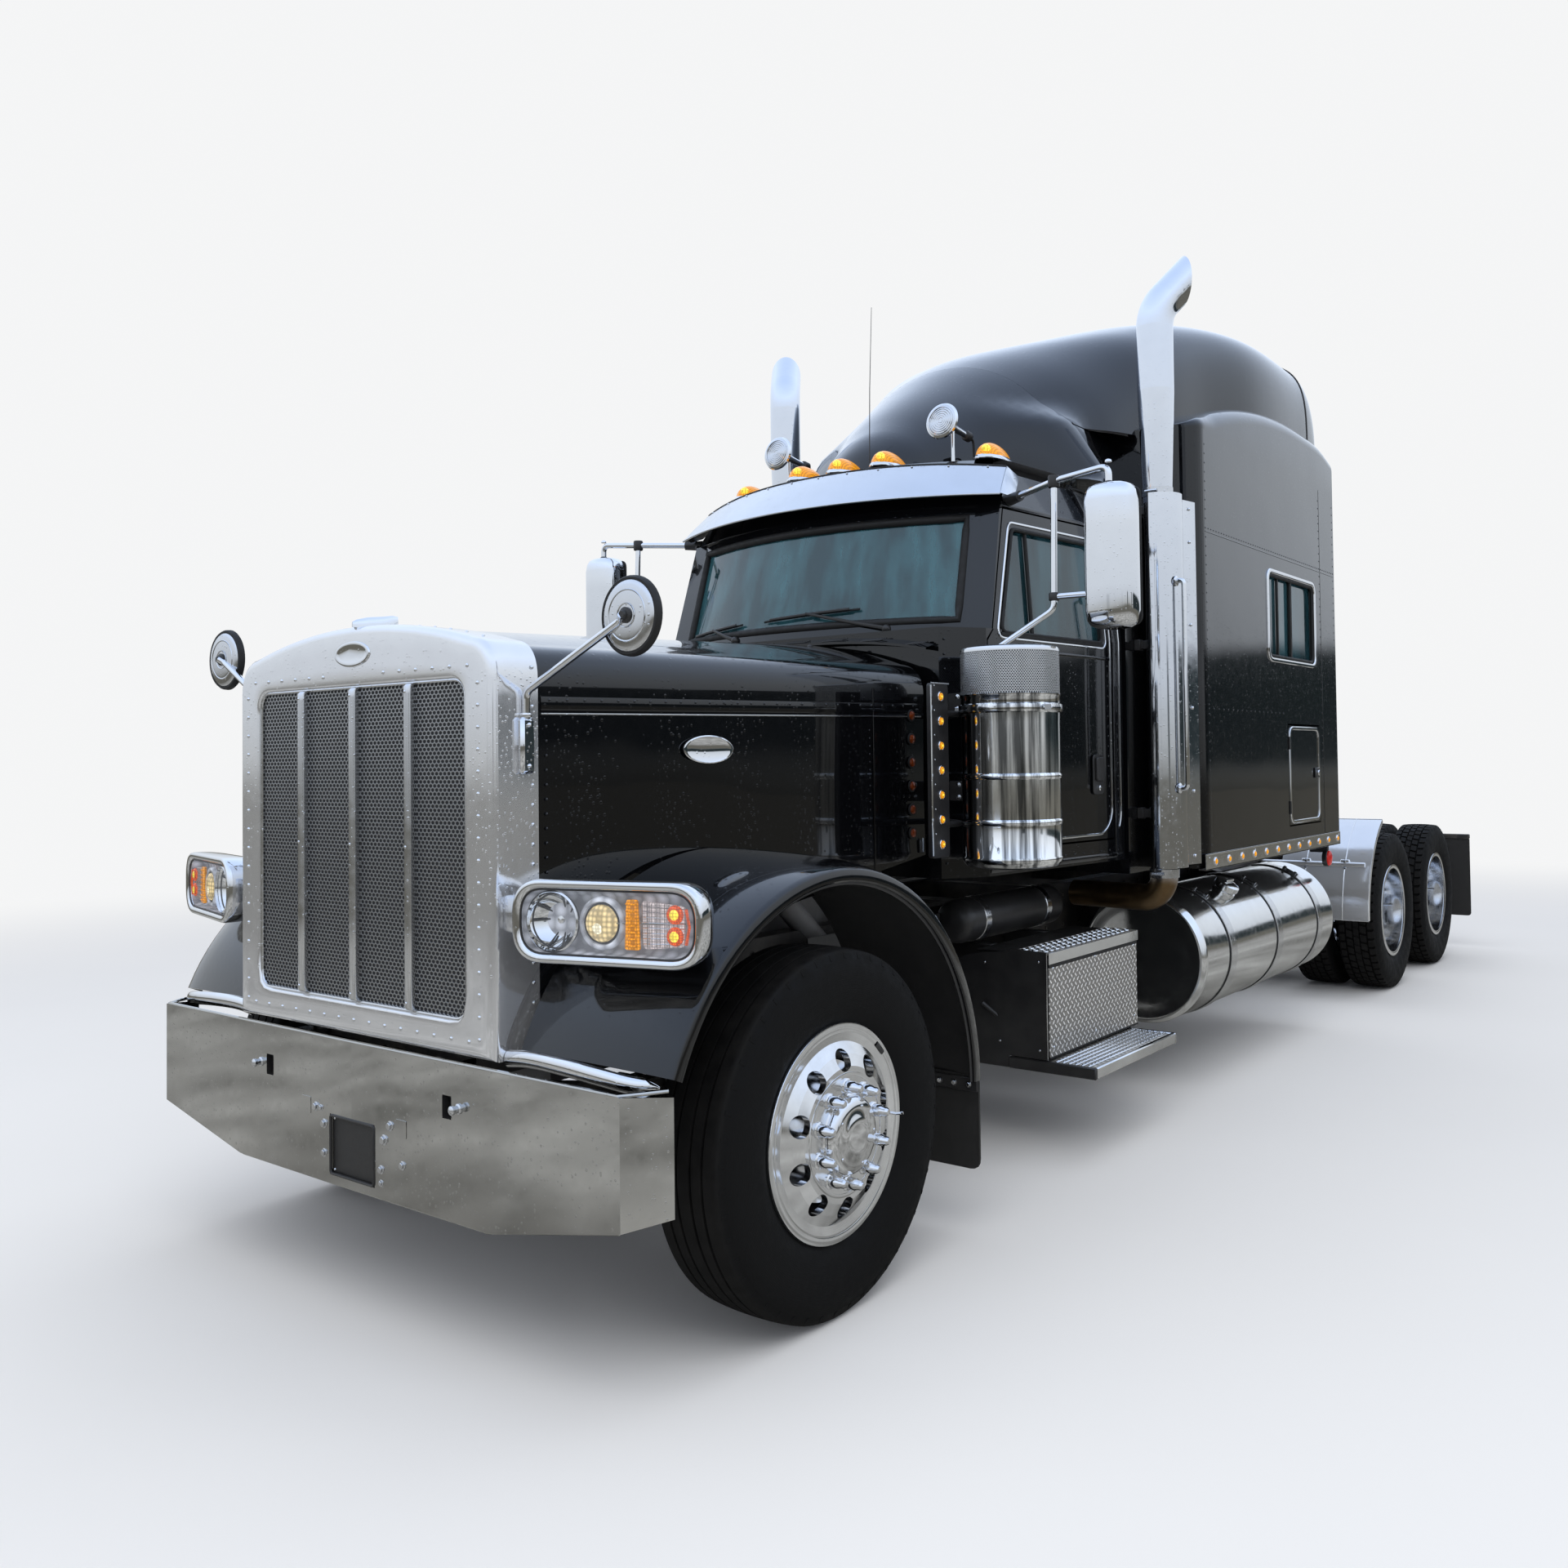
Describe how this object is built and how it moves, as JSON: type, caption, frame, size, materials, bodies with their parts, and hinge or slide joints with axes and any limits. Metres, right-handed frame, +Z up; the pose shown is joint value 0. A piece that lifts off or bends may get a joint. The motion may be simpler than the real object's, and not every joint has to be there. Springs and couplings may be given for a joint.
{
  "type": "semi truck tractor unit",
  "caption": "Long-hood road tractor with a raised-roof sleeper, twin drive axles and a fifth wheel; wheels, steering, hood, doors and lockers move.",
  "frame": {"origin": "centre of the bounding box on the ground under the tyres", "axes": "+Z up, front of the truck faces -Y, +X is its left-hand side"},
  "size_m": [3.06, 9.94, 4.1498],
  "materials": {
    "black_paint": "gloss black coat",
    "black_metal": "semi-gloss black",
    "black_iron": "painted black, matt",
    "cast_grey": "painted grey",
    "core": "finned, dull",
    "chrome": "mirror",
    "polished": "polished",
    "glass": "clear",
    "tinted_glass": "dark tint",
    "trim": "grained",
    "floor_mat": "ribbed",
    "seat_fabric": "woven",
    "tyre": "tread and sidewall"
  },
  "bodies": {
    "chassis": {"frame_rails": "black_metal", "crossmembers": "black_metal", "bumper": "chrome", "front_axle": "black_iron", "drive_axles": "black_iron", "suspension": "black_iron", "powertrain": "cast_grey", "radiator": "core", "tanks": "polished", "step_boxes": "polished", "cab_front": "black_paint", "cab_sides": "black_paint", "cab_back": "black_paint", "cab_roof": "black_paint", "floors": "floor_mat", "windshield": "glass", "dashboard": "trim", "seats": "seat_fabric", "visor": "chrome", "air_horns": "chrome", "mirrors": "chrome", "air_cleaners": "chrome", "exhaust_stacks": "chrome", "sleeper_ends": "black_paint", "sleeper_sides": "black_paint", "sleeper_windows": "tinted_glass", "sleeper_roof": "black_paint", "roof_fairing": "black_paint", "mudguards": "polished", "fifth_wheel_base": "black_iron", "bunk": "seat_fabric"},
    "hood": {"hood": "black_paint", "fenders": "black_paint", "grille_shell": "chrome", "grille": "chrome", "headlamps": "chrome", "fender_mirrors": "chrome"},
    "door_left": {"door_left": "black_paint", "door_glass_left": "tinted_glass"},
    "door_right": {"door_right": "black_paint", "door_glass_right": "tinted_glass"},
    "luggage_door_left": {"luggage_door_left": "black_paint"},
    "luggage_door_right": {"luggage_door_right": "black_paint"},
    "knuckle_left": {"knuckle_left": "black_iron"},
    "knuckle_right": {"knuckle_right": "black_iron"},
    "tie_rod": {"tie_rod": "black_iron"},
    "front_wheel_left": {"front_tyre_left": "tyre", "front_rim_left": "polished"},
    "front_wheel_right": {"front_tyre_right": "tyre", "front_rim_right": "polished"},
    "fifth_wheel": {"fifth_wheel": "black_iron"},
    "drive_wheels_1_left": {"drive_tyres_1_left": "tyre", "drive_rims_1_left": "polished"},
    "drive_wheels_1_right": {"drive_tyres_1_right": "tyre", "drive_rims_1_right": "polished"},
    "drive_wheels_2_left": {"drive_tyres_2_left": "tyre", "drive_rims_2_left": "polished"},
    "drive_wheels_2_right": {"drive_tyres_2_right": "tyre", "drive_rims_2_right": "polished"}
  },
  "joints": [
    {"name": "hood_tilt", "type": "hinge", "parent": "chassis", "child": "hood", "pos_m": [0, -4.97, 0.835], "axis": [1, 0, 0], "range_deg": [0, 72]},
    {"name": "door_left_hinge", "type": "hinge", "parent": "chassis", "child": "door_left", "pos_m": [0.913, -2.674, 1.9], "axis": [0, 0, -1], "range_deg": [0, 65]},
    {"name": "door_right_hinge", "type": "hinge", "parent": "chassis", "child": "door_right", "pos_m": [-0.913, -2.674, 1.9], "axis": [0, 0, 1], "range_deg": [0, 65]},
    {"name": "luggage_left_hinge", "type": "hinge", "parent": "chassis", "child": "luggage_door_left", "pos_m": [1.227, 0.13, 1.55], "axis": [0, 0, -1], "range_deg": [0, 95]},
    {"name": "luggage_right_hinge", "type": "hinge", "parent": "chassis", "child": "luggage_door_right", "pos_m": [-1.227, 0.13, 1.55], "axis": [0, 0, 1], "range_deg": [0, 95]},
    {"name": "steer_left", "type": "hinge", "parent": "chassis", "child": "knuckle_left", "pos_m": [0.89, -4.122, 0.55], "axis": [0, 0, 1], "range_deg": [-40, 40]},
    {"name": "steer_right", "type": "hinge", "parent": "chassis", "child": "knuckle_right", "pos_m": [-0.89, -4.122, 0.55], "axis": [0, 0, 1], "range_deg": [-40, 40]},
    {"name": "tie_rod_pivot", "type": "hinge", "parent": "knuckle_left", "child": "tie_rod", "pos_m": [0.89, -3.94, 0.422], "axis": [0, 0, 1], "range_deg": [-40, 40]},
    {"name": "front_wheel_left_spin", "type": "hinge", "parent": "knuckle_left", "child": "front_wheel_left", "pos_m": [1.096, -4.122, 0.55], "axis": [1, 0, 0], "continuous": true},
    {"name": "front_wheel_right_spin", "type": "hinge", "parent": "knuckle_right", "child": "front_wheel_right", "pos_m": [-1.096, -4.122, 0.55], "axis": [1, 0, 0], "continuous": true},
    {"name": "drive_1_left_spin", "type": "hinge", "parent": "chassis", "child": "drive_wheels_1_left", "pos_m": [0.8805, 2.5525, 0.55], "axis": [1, 0, 0], "continuous": true},
    {"name": "drive_1_right_spin", "type": "hinge", "parent": "chassis", "child": "drive_wheels_1_right", "pos_m": [-0.8805, 2.5525, 0.55], "axis": [1, 0, 0], "continuous": true},
    {"name": "drive_2_left_spin", "type": "hinge", "parent": "chassis", "child": "drive_wheels_2_left", "pos_m": [0.8805, 3.8755, 0.55], "axis": [1, 0, 0], "continuous": true},
    {"name": "drive_2_right_spin", "type": "hinge", "parent": "chassis", "child": "drive_wheels_2_right", "pos_m": [-0.8805, 3.8755, 0.55], "axis": [1, 0, 0], "continuous": true},
    {"name": "fifth_wheel_tilt", "type": "hinge", "parent": "chassis", "child": "fifth_wheel", "pos_m": [0, 3.064, 1.15], "axis": [1, 0, 0], "range_deg": [-12, 12]}
  ],
  "couplings": [
    {"joint": "steer_right", "follows": "steer_left", "ratio": 1},
    {"joint": "tie_rod_pivot", "follows": "steer_left", "ratio": -1}
  ]
}
